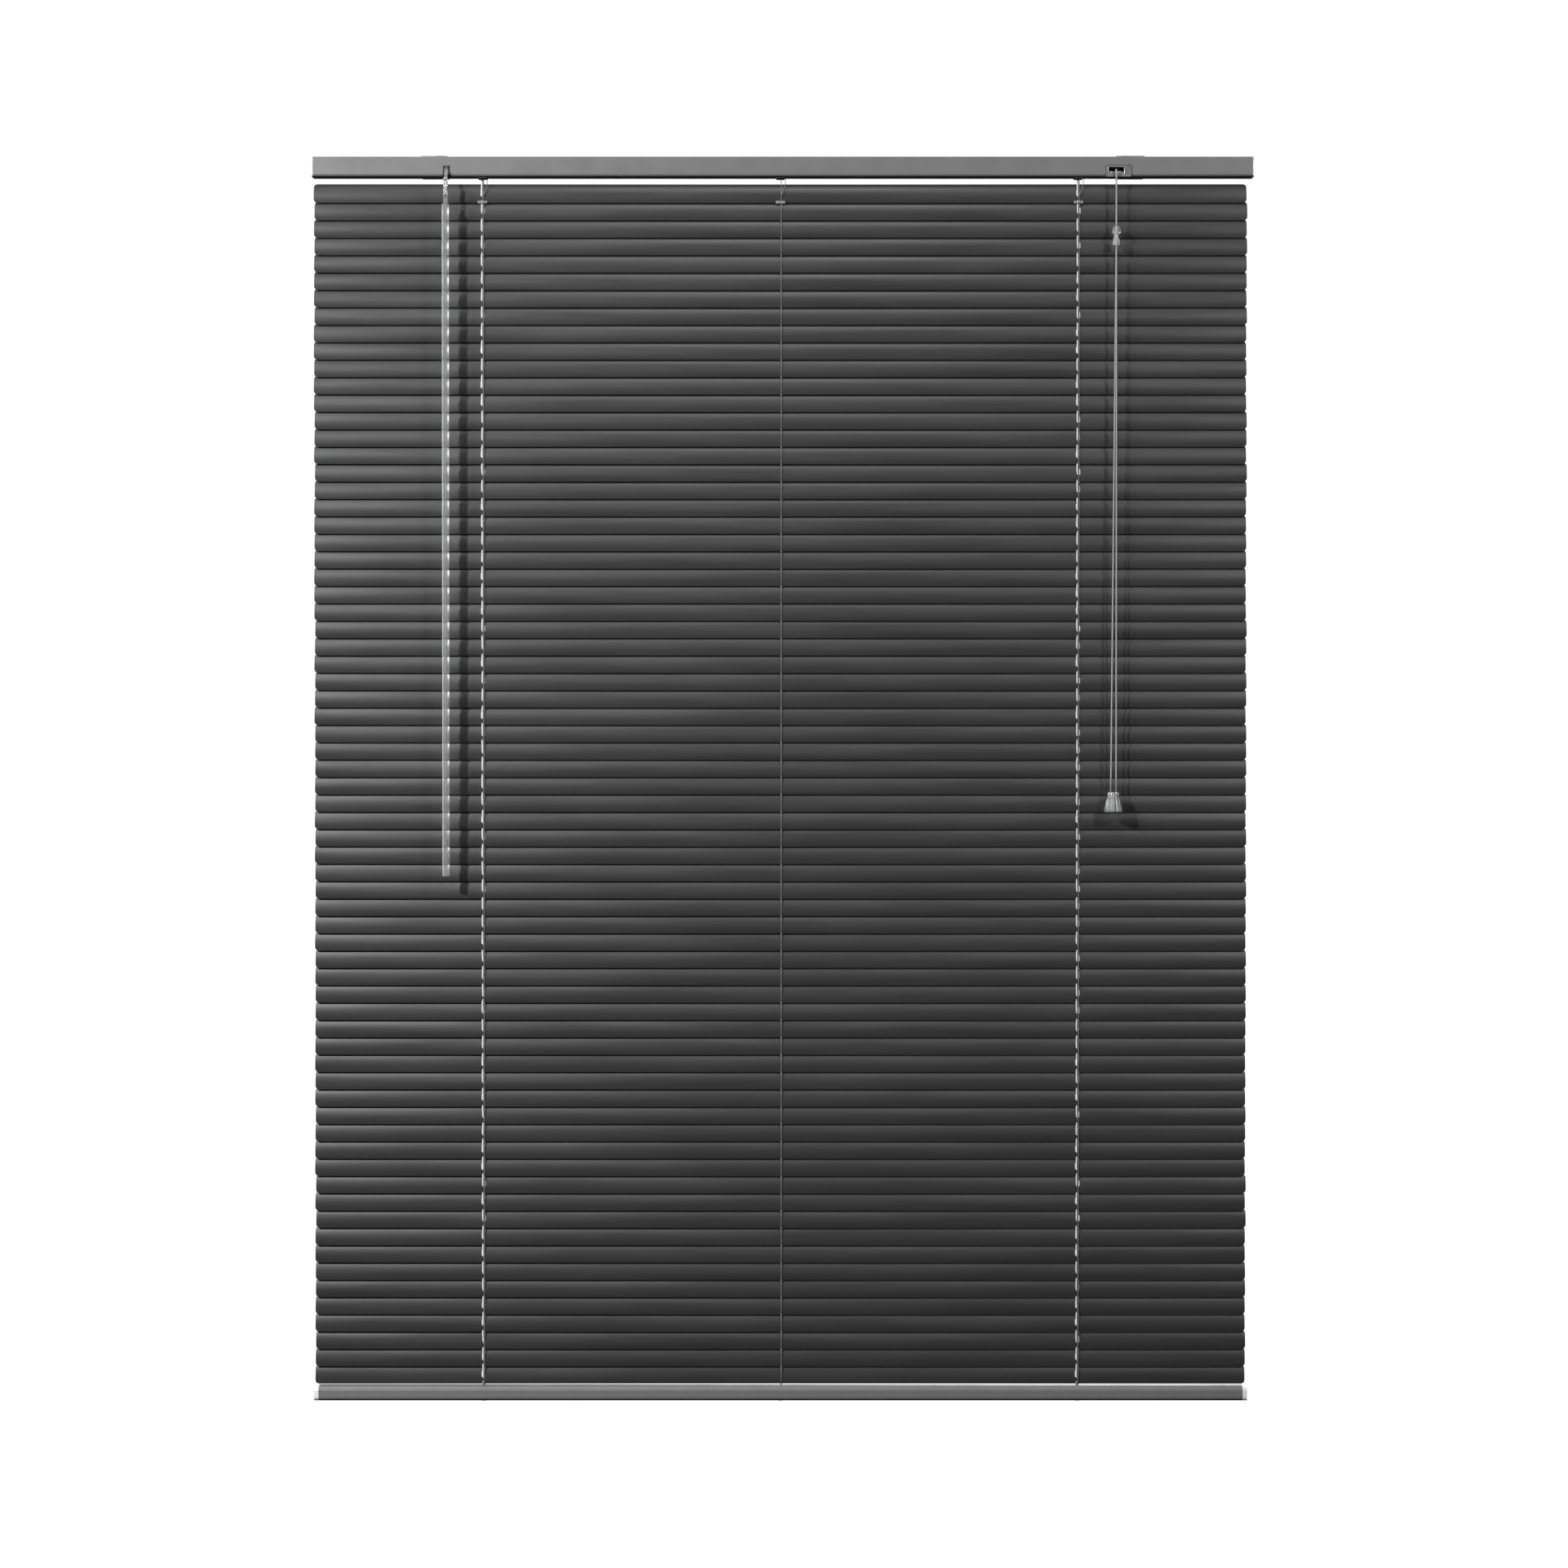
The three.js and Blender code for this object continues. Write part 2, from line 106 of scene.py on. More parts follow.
AIM = Vector((0.0015, RAIL_LOW.y, -0.786))
DISTANCE = 4.594
RISE = 0.06

camera_data = bpy.data.cameras.new("camera")
camera_data.sensor_width = 36
camera_data.lens = 82.7
camera = bpy.data.objects.new("camera", camera_data)
bpy.context.scene.collection.objects.link(camera)
camera.location = AIM + Vector((0, -DISTANCE, RISE))
camera.rotation_mode = "QUATERNION"
camera.rotation_quaternion = (AIM - camera.location).to_track_quat("-Z", "Y")
bpy.context.scene.camera = camera

# ---------------------------------------------------------------- materials


class Paint:
    """A Principled material and short ways to add procedural detail to it."""

    def __init__(self, name, color, roughness, metallic=0.0, **sockets):
        self.material = bpy.data.materials.new(name)
        self.material.use_nodes = True
        self.tree = self.material.node_tree
        self.shader = self.tree.nodes["Principled BSDF"]
        self.set("Base Color", (*color, 1))
        self.set("Roughness", roughness)
        self.set("Metallic", metallic)
        for socket, value in sockets.items():
            self.set(socket.replace("_", " "), value)
        self.color = color
        self.roughness = roughness

    def set(self, socket, value):
        self.shader.inputs[socket].default_value = value

    def noise(self, scale, stretch=(1, 1, 1), detail=4):
        place = self.tree.nodes.new("ShaderNodeTexCoord")
        scaled = self.tree.nodes.new("ShaderNodeMapping")
        scaled.inputs["Scale"].default_value = stretch
        noise = self.tree.nodes.new("ShaderNodeTexNoise")
        noise.inputs["Scale"].default_value = scale
        noise.inputs["Detail"].default_value = detail
        self.tree.links.new(place.outputs["Object"], scaled.inputs["Vector"])
        self.tree.links.new(scaled.outputs["Vector"], noise.inputs["Vector"])
        return noise.outputs["Fac"]

    def between(self, source, low, high):
        ranged = self.tree.nodes.new("ShaderNodeMapRange")
        ranged.inputs["From Min"].default_value = 0.3
        ranged.inputs["From Max"].default_value = 0.7
        ranged.inputs["To Min"].default_value = low
        ranged.inputs["To Max"].default_value = high
        self.tree.links.new(source, ranged.inputs["Value"])
        return ranged.outputs["Result"]

    def vary_color(self, scale, amount, stretch=(1, 1, 1)):
        mix = self.tree.nodes.new("ShaderNodeMix")
        mix.data_type = "RGBA"
        mix.inputs["A"].default_value = (*[c * (1 - amount) for c in self.color], 1)
        mix.inputs["B"].default_value = (*[min(1, c * (1 + amount)) for c in self.color], 1)
        self.tree.links.new(self.between(self.noise(scale, stretch), 0, 1), mix.inputs["Factor"])
        self.tree.links.new(mix.outputs["Result"], self.shader.inputs["Base Color"])
        return self

    def vary_roughness(self, scale, amount, stretch=(1, 1, 1)):
        source = self.between(self.noise(scale, stretch), self.roughness - amount, self.roughness + amount)
        self.tree.links.new(source, self.shader.inputs["Roughness"])
        return self

    def bump(self, height, strength, distance):
        bump = self.tree.nodes.new("ShaderNodeBump")
        bump.inputs["Strength"].default_value = strength
        bump.inputs["Distance"].default_value = distance
        self.tree.links.new(height, bump.inputs["Height"])
        self.tree.links.new(bump.outputs["Normal"], self.shader.inputs["Normal"])
        return self

    def grain(self, scale, strength, distance, stretch=(1, 1, 1)):
        return self.bump(self.noise(scale, stretch, 2), strength, distance)

    def braid(self, scale, strength, distance):
        place = self.tree.nodes.new("ShaderNodeTexCoord")
        wave = self.tree.nodes.new("ShaderNodeTexWave")
        wave.bands_direction = "DIAGONAL"
        wave.inputs["Scale"].default_value = scale
        wave.inputs["Distortion"].default_value = 1.5
        self.tree.links.new(place.outputs["Object"], wave.inputs["Vector"])
        return self.bump(wave.outputs["Fac"], strength, distance)


def slat_paint():
    paint = Paint("slat_paint", (0.018, 0.018, 0.0185), 0.36, 0.0, Coat_Weight=0.1, Coat_Roughness=0.3)
    paint.vary_color(9, 0.1, (0.5, 1, 6)).vary_roughness(14, 0.05, (0.4, 1, 5))
    return paint.grain(2600, 0.12, 0.00008).material


def rail_paint():
    paint = Paint("rail_paint", (0.107, 0.107, 0.108), 0.42, 0.1)
    paint.vary_color(1500, 0.12).vary_roughness(30, 0.05)
    return paint.grain(2200, 0.15, 0.0001).material


def frosted(name, color):
    paint = Paint(name, color, 0.42, 0.0, Transmission_Weight=0.25, Subsurface_Weight=0.15)
    paint.vary_roughness(160, 0.06)
    return paint.grain(900, 0.1, 0.0001).material


def clear(name, roughness):
    paint = Paint(name, (0.96, 0.97, 0.97), roughness, 0.0, Transmission_Weight=0.94, IOR=1.49)
    paint.vary_roughness(220, min(roughness, 0.03))
    return paint.grain(140, 0.12, 0.0002, (1, 1, 0.15)).material


def dark_plastic():
    paint = Paint("dark_plastic", (0.02, 0.02, 0.021), 0.48)
    return paint.vary_roughness(300, 0.06).grain(1800, 0.2, 0.0001).material


def grey_plastic():
    paint = Paint("grey_plastic", (0.09, 0.09, 0.091), 0.4)
    return paint.vary_roughness(300, 0.06).grain(1800, 0.2, 0.0001).material


def plated_steel():
    paint = Paint("plated_steel", (0.52, 0.52, 0.53), 0.34, 1.0)
    paint.vary_color(60, 0.08).vary_roughness(90, 0.08, (1, 1, 8))
    return paint.grain(700, 0.1, 0.0001, (1, 1, 10)).material


def woven(name, color, scale):
    paint = Paint(name, color, 0.85, 0.0, Sheen_Weight=0.25)
    return paint.vary_color(1400, 0.18).braid(scale, 0.6, 0.0002).material


SLAT_PAINT = slat_paint()
RAIL_PAINT = rail_paint()
END_PLASTIC = frosted("end_plastic", (0.62, 0.62, 0.62))
DARK_PLASTIC = dark_plastic()
GREY_PLASTIC = grey_plastic()
CLEAR_PLASTIC = clear("clear_plastic", 0.06)
STEEL = plated_steel()
PULL_CORD = woven("pull_cord", (0.24, 0.237, 0.23), 900)
LIFT_CORD = woven("lift_cord", (0.42, 0.42, 0.42), 900)
LADDER_STRING = woven("ladder_string", (0.13, 0.13, 0.135), 1200)

BY_SLOT = {
    "rail_grey": RAIL_PAINT,
    "slat_charcoal": SLAT_PAINT,
    "end_plastic": END_PLASTIC,
    "dark_plastic": DARK_PLASTIC,
    "grey_plastic": GREY_PLASTIC,
    "clear_plastic": CLEAR_PLASTIC,
    "steel": STEEL,
    "cord": PULL_CORD,
    "ladder_string": LADDER_STRING,
}

# ---------------------------------------------------------------- mesh helpers


def piece(name, vertices, faces, material, slot, smooth=True):
    mesh = bpy.data.meshes.new(name)
    mesh.from_pydata([tuple(v) for v in vertices], [], faces)
    mesh.update()
    mesh.materials.append(material)
    if smooth:
        mesh.shade_smooth()
    obj = bpy.data.objects.new(name, mesh)
    bpy.context.scene.collection.objects.link(obj)
    return obj


def shade_by_angle(obj, degrees=35):
    for polygon in obj.data.polygons:
        polygon.use_smooth = True
    obj.data.set_sharp_from_angle(angle=math.radians(degrees))
    return obj


def soften(obj, width, segments=2):
    bevel = obj.modifiers.new("soft_edges", "BEVEL")
    bevel.width = width
    bevel.segments = segments
    bevel.limit_method = "ANGLE"
    return obj


def join_meshes(parts):
    """One vertex and face list from several."""
    vertices, faces = [], []
    for part_vertices, part_faces in parts:
        start = len(vertices)
        vertices += part_vertices
        faces += [tuple(start + i for i in face) for face in part_faces]
    return vertices, faces


def tube(path, radius, sides=8, flat=1.0, flutes=0, depth=0.0):
    """A closed tube along a line of points; flat thins it front to back."""
    points = [Vector(p) for p in path]
    vertices, faces = [], []
    side = None
    for i, point in enumerate(points):
        along = (points[min(i + 1, len(points) - 1)] - points[max(i - 1, 0)]).normalized()
        if side is None:
            side = along.orthogonal().normalized() if abs(along.x) > 0.9 else Vector((1, 0, 0))
        side = (side - along * side.dot(along)).normalized()
        up = along.cross(side)
        for s in range(sides):
            a = 2 * math.pi * s / sides
            r = radius * (1 - depth * (0.5 - 0.5 * math.cos(flutes * a)))
            vertices.append(point + r * (math.cos(a) * side + flat * math.sin(a) * up))
        if i:
            a, b = (i - 1) * sides, i * sides
            faces += [(a + s, a + (s + 1) % sides, b + (s + 1) % sides, b + s) for s in range(sides)]
    last = (len(points) - 1) * sides
    return vertices, faces + [tuple(reversed(range(sides))), tuple(last + s for s in range(sides))]


def lathe(profile, centre, sides=32, flutes=0, depth=0.0):
    """A closed (radius, z) ring turned about a vertical line through centre, with optional flutes."""
    vertices, faces = [], []
    count = len(profile)
    for s in range(sides):
        a = 2 * math.pi * s / sides
        wave = 1 - depth * (0.5 - 0.5 * math.cos(flutes * a)) if flutes else 1
        for r, z in profile:
            vertices.append(Vector((centre.x + r * wave * math.cos(a), centre.y + r * wave * math.sin(a), z)))
    for s in range(sides):
        a, b = s * count, ((s + 1) % sides) * count
        faces += [(a + i, b + i, b + (i + 1) % count, a + (i + 1) % count) for i in range(count)]
    return vertices, faces


def spline(points, between=6):
    """A smooth line through the points, with the same number of steps between each two."""
    p = [Vector(q) for q in points]
    p = [2 * p[0] - p[1], *p, 2 * p[-1] - p[-2]]
    out = []
    for i in range(1, len(p) - 2):
        near = p[i - 1 : i + 3]
        knots = [0.0]
        for a, b in zip(near, near[1:]):
            knots.append(knots[-1] + math.sqrt((b - a).length))
        for step in range(between):
            t = knots[1] + (knots[2] - knots[1]) * step / between
            first = [mixed(near[j], near[j + 1], knots[j], knots[j + 1], t) for j in range(3)]
            second = [mixed(first[j], first[j + 1], knots[j], knots[j + 2], t) for j in range(2)]
            out.append(mixed(*second, knots[1], knots[2], t))
    return out + [p[-2]]


def mixed(a, b, start, end, t):
    """The point between a and b at t, where a is at start and b at end."""
    share = (t - start) / (end - start)
    return a * (1 - share) + b * share


def gather(obj):
    """Gives a piece of the curtain a mesh of its own."""
    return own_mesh(obj)


# ---------------------------------------------------------------- slats

CORNER = 4.5 * MM
SHEET = 0.25 * MM
SLOT_HALF_X = 2 * MM
SLOT_HALF_Y = 4.8 * MM
SLOT_END_SHARE = 0.8
SLAT_ROWS = [-1, -0.9, -0.75, -0.57, -0.391, -0.29, -0.15, 0, 0.15, 0.29, 0.391, 0.57, 0.75, 0.9, 1]
TURN_ERROR = 0.8
DROOP = 0.15
SIDE_ERROR = 0.7


def across(y):
    """Height of the crowned strip at a distance from its middle."""
    half = CHORD / 2
    radius = (half * half + CROWN * CROWN) / (2 * CROWN)
    return math.sqrt(radius * radius - y * y) - (radius - CROWN)


def slat_stations():
    """Places along a slat and its half width there, closer together round the corners and at the slots."""
    half = SLAT_LENGTH / 2
    turns = [CORNER * (1 - math.cos(math.radians(a))) for a in range(0, 91, 15)]
    ends = [(-half + d, CHORD / 2 - CORNER + math.sqrt(max(0, CORNER**2 - (CORNER - d) ** 2))) for d in turns]
    ends[0] = (-half, CHORD / 2 - CORNER)
    marks = [LADDER_X[s] - CURTAIN_X + d * SLOT_HALF_X for s in ("left", "right") for d in (-1, -0.5, 0.5, 1)]
    plain = [half * i / 6 for i in range(-5, 6)]
    inner = sorted(marks + [x for x in plain if all(abs(x - m) > 6 * MM for m in marks)])
    return ends + [(x, CHORD / 2) for x in inner] + [(-x, w) for x, w in reversed(ends)]


def slat_mesh():
    """A crowned strip with rounded corners and two slots, lying level with its front edge at -Y."""
    stations = slat_stations()
    rows = len(SLAT_ROWS)
    slots = [LADDER_X[s] - CURTAIN_X for s in ("left", "right")]

    def open_here(i, j):
        x = (stations[i][0] + stations[i + 1][0]) / 2
        y = abs(SLAT_ROWS[j] + SLAT_ROWS[j + 1]) / 2 * CHORD / 2
        offset = min(abs(x - c) for c in slots)
        reach = SLOT_HALF_Y if offset < 0.5 * SLOT_HALF_X else SLOT_HALF_Y * SLOT_END_SHARE
        return offset < SLOT_HALF_X and y < reach

    vertices = []
    for side in (1, -1):
        for x, width in stations:
            vertices += [Vector((x, s * width, across(s * width) + side * SHEET / 2)) for s in SLAT_ROWS]
    layer = len(stations) * rows
    faces = []
    cells = {(i, j) for i in range(len(stations) - 1) for j in range(rows - 1) if not open_here(i, j)}
    for i, j in cells:
        a, b, c, d = i * rows + j, (i + 1) * rows + j, (i + 1) * rows + j + 1, i * rows + j + 1
        faces += [(a, b, c, d), (layer + a, layer + d, layer + c, layer + b)]
        edges = {(i - 1, j): (d, a), (i + 1, j): (b, c), (i, j - 1): (a, b), (i, j + 1): (c, d)}
        for cell, (p, q) in edges.items():
            if cell not in cells:
                faces.append((q, p, layer + p, layer + q))
    used = sorted({v for f in faces for v in f})
    new = {v: k for k, v in enumerate(used)}
    return [vertices[v] for v in used], [tuple(new[v] for v in f) for f in faces]


def make_slats():
    rng = random.Random(69)
    flat_vertices, faces = slat_mesh()
    for number in range(1, SLAT_COUNT + 1):
        turn = Matrix.Rotation(CLOSED + math.radians(rng.uniform(-TURN_ERROR, TURN_ERROR)), 3, "X")
        droop = rng.uniform(-DROOP, DROOP) * MM
        centre = slat_centre(number) + Vector((rng.uniform(-SIDE_ERROR, SIDE_ERROR) * MM, 0, 0))

        def settle(v):
            p = turn @ v + centre
            p.z += droop * math.cos(math.pi * v.x / SLAT_LENGTH * 2)
            return p

        vertices = [settle(v) for v in flat_vertices]
        slat = piece(f"slat_{number:02d}", vertices, faces, SLAT_PAINT, "slat_charcoal")
        shade_by_angle(slat, 40)
        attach(slat, slat_body(number))
        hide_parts(slat_body(number))
        gather(slat)


# ---------------------------------------------------------------- ladders, rungs, clips and lift cords

STRING_FRONT = -3.5 * MM
STRING_BACK = 3.05 * MM
STRING_R = 0.45 * MM
STRING_X = 0.9 * MM
LIFT_CORD_X = -1.0 * MM
LIFT_CORD_Y = -2.0 * MM
LIFT_CORD_R = 1.05 * MM
STRING_WANDER = 0.12 * MM
LIFT_CORD_WANDER = 0.3 * MM
LIFT_CORD_TOP = -3 * MM
LIFT_CORD_FLAT = 0.55
RUNG_R = 0.28 * MM
RUNG_GAP = 1.8 * MM


def vertical(x, y, top, bottom, rng, wander, step=11 * MM):
    count = max(2, int((top - bottom) / step))
    line = []
    for i in range(count + 1):
        loose = wander if 0 < i < count else 0
        z = top + (bottom - top) * i / count
        line.append(Vector((x + rng.uniform(-loose, loose), y, z)))
    return line


def make_ladders():
    rng = random.Random(7)
    for side, x in LADDER_X.items():
        low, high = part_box(f"ladder_{side}")
        strings = [
            tube(vertical(x + STRING_X, RAIL_Y + y, high.z, low.z, rng, STRING_WANDER), STRING_R, 8)
            for y in (STRING_FRONT, STRING_BACK)
        ]
        spare = [
            Vector((x + 7 * MM, RAIL_Y - 5 * MM, RAIL_LOW.z - 0.5 * MM)),
            Vector((x + 4.5 * MM, RAIL_Y - 5.2 * MM, RAIL_LOW.z - 14 * MM)),
            Vector((x + 1.2 * MM, RAIL_Y - 4.6 * MM, RAIL_LOW.z - 23 * MM)),
        ]
        strings.append(tube(spline(spare), STRING_R, 8))
        ladder = piece(f"ladder_strings_{side}", *join_meshes(strings), LADDER_STRING, "ladder_string")
        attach(ladder, "head_rail")
        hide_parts(f"ladder_{side}")
        gather(ladder)


def rung(x, centre):
    """Two strands from the front string, under the slat's lower edge and up its hollow side to the back."""
    chord = Vector((0, -math.cos(CLOSED), -math.sin(CLOSED))) * CHORD / 2
    behind = Vector((0, math.sin(CLOSED), -math.cos(CLOSED))) * 0.7 * MM
    at = Vector((x, RAIL_Y, centre.z))
    route = [
        at + Vector((0, STRING_FRONT, chord.z - 0.9 * MM)),
        at + Vector((0, chord.y, chord.z - 0.8 * MM)),
        at + chord * 0.93 + behind,
        at + behind,
        at - chord * 0.95 + behind,
        at + Vector((0, STRING_BACK, -chord.z - 0.6 * MM)),
    ]
    return [tube([p + Vector((dx, 0, 0)) for p in route], RUNG_R, 6) for dx in (0, RUNG_GAP)]


def make_rungs():
    for body in [*PAIRS, LOWEST_SLAT]:
        numbers = [n for n in range(1, SLAT_COUNT + 1) if slat_body(n) == body]
        strands = [t for n in numbers for x in LADDER_X.values() for t in rung(x, slat_centre(n))]
        rungs = piece("rungs_" + body.split("_", 1)[1], *join_meshes(strands), LADDER_STRING, "ladder_string")
        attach(rungs, body)
        gather(rungs)


def make_lift_cords():
    rng = random.Random(21)
    for side in ("left", "right"):
        x = LADDER_X[side] + LIFT_CORD_X
        foot = BASE_HIGH.z + 0.3 * MM
        line = vertical(x, RAIL_Y + LIFT_CORD_Y, LIFT_CORD_TOP, foot, rng, LIFT_CORD_WANDER, PITCH / 3)
        cord = piece(f"lift_cord_{side}", *tube(line, LIFT_CORD_R, 10, LIFT_CORD_FLAT), LIFT_CORD, "cord")
        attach(cord, "head_rail")
        gather(cord)


CLIP_HALF_X = 6 * MM
CLIP_Y = -0.9 * MM


def make_clips():
    """A small clear clip folded round the top slat's lower edge at each ladder."""
    edge = slat_centre(1) + Matrix.Rotation(CLOSED, 3, "X") @ Vector((0, -CHORD / 2, 0))
    for side, x in LADDER_X.items():
        outline = [(-1.5, 2.2), (-1.7, 0.4), (-1.1, -0.8), (0.2, -0.9), (0.9, 0.2), (1.0, 3.4)]
        inner = [(0.55, 3.4), (0.5, 0.5), (0.0, -0.35), (-0.8, -0.3), (-1.2, 0.5), (-1.05, 2.2)]
        ring = [Vector((0, y * MM, z * MM)) for y, z in outline + inner]
        count = len(ring)
        vertices = []
        for dx in (-CLIP_HALF_X, CLIP_HALF_X):
            place = Vector((x + dx, edge.y, edge.z))
            vertices += [place + p + Vector((0, CLIP_Y, 0)) for p in ring]
        faces = [(i, (i + 1) % count, count + (i + 1) % count, count + i) for i in range(count)]
        half = len(outline)
        for i in range(half - 1):
            j = count - 1 - i
            faces += [(i + 1, i, j, j - 1), (count + i, count + i + 1, count + j - 1, count + j)]
        clip = piece(f"slat_clip_{side}", vertices, faces, CLEAR_PLASTIC, "clear_plastic")
        shade_by_angle(clip)
        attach(clip, slat_body(1))
        gather(clip)


# ---------------------------------------------------------------- pull cords, joiner and tassel

CORD_D = 1.8 * MM
CORD_END = -796.1
# millimetres, from the lock to the tassel
PULL_ROUTES = {
    "pull_cord_left": [
        (424.1, -23, -6.2), (424.1, -26, -6.2), (424.1, -28.6, -6.9), (424.1, -30.4, -9),
        (424.1, -31, -12.5), (424.1, -31.1, -20), (424.1, -31.1, -45), (424.1, -31.1, -76),
        (424.1, -31.1, -102), (423.3, -31.3, -180), (422.4, -31.6, -290), (421.3, -31.9, -408),
        (420.2, -32.1, -530), (419, -32.1, -670), (417.9, -32.1, CORD_END),
    ],
    "pull_cord_right": [
        (424.1, -23, -3.9), (424.1, -27, -3.9), (424.1, -30.2, -4.8), (424.1, -32.4, -7.6),
        (424.1, -33, -12), (424.1, -33.1, -20), (424.1, -33.1, -45), (424.1, -33.1, -76),
        (424.1, -33.1, -102), (424.2, -32.9, -180), (424.4, -32.6, -290), (424.5, -32.3, -408),
        (424.6, -32.1, -530), (424.6, -32.1, -670), (424.6, -32.1, CORD_END),
    ],
}


def make_pull_cords():
    made = {}
    for node, route in PULL_ROUTES.items():
        path = spline([Vector(p) * MM for p in route])
        cord = piece(f"{node}_braid", *tube(path, CORD_D / 2, 12), PULL_CORD, "cord")
        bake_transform(cord)
        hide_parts(node)
        made[node] = (cord, path)
    return made


def make_joiner():
    """A clear dome with a collar below it, round both pull cords."""
    centre = middle("cord_joiner")
    profile = [
        (2.6, -101), (3.6, -101), (4.3, -99.6), (4.4, -97), (4.3, -94.4), (3.5, -92),
        (3.1, -90.5), (3.1, -87), (3.7, -86), (5.4, -85.7), (5.6, -85), (5.5, -83),
        (5.1, -81), (4.4, -79), (3.4, -77.4), (2.9, -76.8), (2.6, -76.6),
    ]
    dome = lathe([(r * MM, z * MM) for r, z in profile], centre)
    joiner = piece("joiner_dome", *dome, CLEAR_PLASTIC, "clear_plastic")
    shade_by_angle(joiner, 50)
    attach(joiner, "tassel")
    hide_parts("cord_joiner")
    return joiner


TASSEL_FLUTES = 12


def make_tassel():
    """A hollow fluted bell, open below, with a small hole for the cords in its top."""
    low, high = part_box("tassel")
    centre = (low + high) / 2
    top, bottom = high.z, low.z
    wide = (high.y - low.y) / 2
    narrow = 7.2 * MM
    wall = 1.3 * MM
    drop = top - bottom
    outer = [(narrow * 0.86, top), (narrow, top - 0.04 * drop), (narrow * 1.1, top - 0.18 * drop)]
    for t in (0.25, 0.5, 0.75, 1):
        outer.append((narrow * 1.1 + (wide - narrow * 1.1) * t**1.1, top - (0.18 + 0.74 * t) * drop))
    outer += [(wide, bottom + 0.02 * drop), (wide - 0.5 * wall, bottom)]
    inner = [(r - wall, z + wall * 0.4) for r, z in reversed(outer[2:-1])]
    inner += [(4.6 * MM, top - wall * 1.4), (4.4 * MM, top - wall * 0.2)]
    bell = lathe(outer + inner, centre, 96, TASSEL_FLUTES, 0.14)
    tassel = piece("tassel_bell", *bell, CLEAR_PLASTIC, "clear_plastic")
    shade_by_angle(tassel, 50)
    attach(tassel, "tassel")
    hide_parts("tassel")
    return tassel


def make_knots():
    """Each pull cord goes through the bell's top and ends in a knot inside it."""
    knots = []
    steps = 40
    turns = 2
    r = 1.5 * MM
    for index, route in enumerate(PULL_ROUTES.values()):
        end = Vector(route[-1]) * MM
        seat = Vector((end.x, end.y, end.z - 7.5 * MM))
        loops = []
        for i in range(steps + 1):
            a = i / steps * 2 * turns * math.pi
            loops.append(seat + Vector((r * math.cos(a), r * math.sin(a), 1.3 * MM * math.sin(a * 1.5))))
        tail = [end + Vector((0, 0, -0.2 * MM)), end + Vector((0, 0, -3 * MM))]
        knot = piece(f"cord_knot_{index + 1}", *tube(tail + loops, CORD_D / 2, 10), PULL_CORD, "cord")
        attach(knot, "tassel")
        knots.append(knot)
    return knots


# ---------------------------------------------------------------- wand and hook


WAND_NECK = 7 * MM
WAND_NECK_SHARE = 0.55
STRAND_R = 1.4 * MM
STRAND_STEPS = 48
SHANK_SHARE = 0.72
RING_R = 0.85 * MM


def make_wand():
    """A clear six-sided rod with slightly hollow faces, and a thinner neck up to the hook's ring."""
    low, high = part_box("tilt_wand")
    centre = (low + high) / 2
    radius = (high.y - low.y) / 2
    shoulder = high.z - WAND_NECK
    rod = tube([(centre.x, centre.y, z) for z in (shoulder, low.z)], radius, 48, 1, 6, 0.16)
    neck = tube([(centre.x, centre.y, z) for z in (high.z, shoulder)], radius * WAND_NECK_SHARE, 16)
    wand = piece("wand_rod", *join_meshes([rod, neck]), CLEAR_PLASTIC, "clear_plastic")
    shade_by_angle(wand, 50)
    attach(wand, "tilt_wand")
    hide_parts("tilt_wand")


def make_hook():
    """A shank of two clear twisted strands, and a ring that holds the wand."""
    low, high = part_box("wand_hook")
    centre = (low + high) / 2
    strands = []
    for phase in (0, math.pi):
        path = []
        for i in range(STRAND_STEPS + 1):
            t = i / STRAND_STEPS
            a = phase + t * 3 * math.pi
            r = (2.1 - 0.6 * math.sin(math.pi * t)) * MM
            z = high.z - t * (high.z - low.z) * SHANK_SHARE
            path.append(Vector((centre.x + r * math.cos(a), centre.y + r * math.sin(a), z)))
        strands.append(tube(path, STRAND_R, 10))
    ring_z = low.z + 2.9 * MM
    circle = [
        Vector((centre.x + 2.5 * MM * math.cos(a), centre.y, ring_z + 2.0 * MM * math.sin(a)))
        for a in [math.radians(d) for d in range(0, 361, 12)]
    ]
    shank = join_meshes([*strands, tube(circle, RING_R, 10)])
    hook = piece("hook_shank", *shank, CLEAR_PLASTIC, "clear_plastic")
    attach(hook, "wand_hook")
    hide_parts("wand_hook")


# ---------------------------------------------------------------- small fittings on the rails

PLATE_MIDDLE_Z = -5.3 * MM
MOUTH_X = 424.5 * MM
GUIDE_HALF_X = 5.6 * MM
GUIDE_SLOT_X = 2.6 * MM
GUIDE_END_X = 2.9 * MM
GUIDE_HALF_Y = 8.6 * MM
GUIDE_SLOT_Y = 6 * MM
GUIDE_DROP = 1.6 * MM
GUIDE_RISE = 0.4 * MM


def block(low, high):
    corners = [Vector((x, y, z)) for x, y, z in itertools.product(*zip(low, high))]
    faces = [(0, 1, 3, 2), (4, 6, 7, 5), (0, 4, 5, 1), (2, 3, 7, 6), (0, 2, 6, 4), (1, 5, 7, 3)]
    return corners, faces


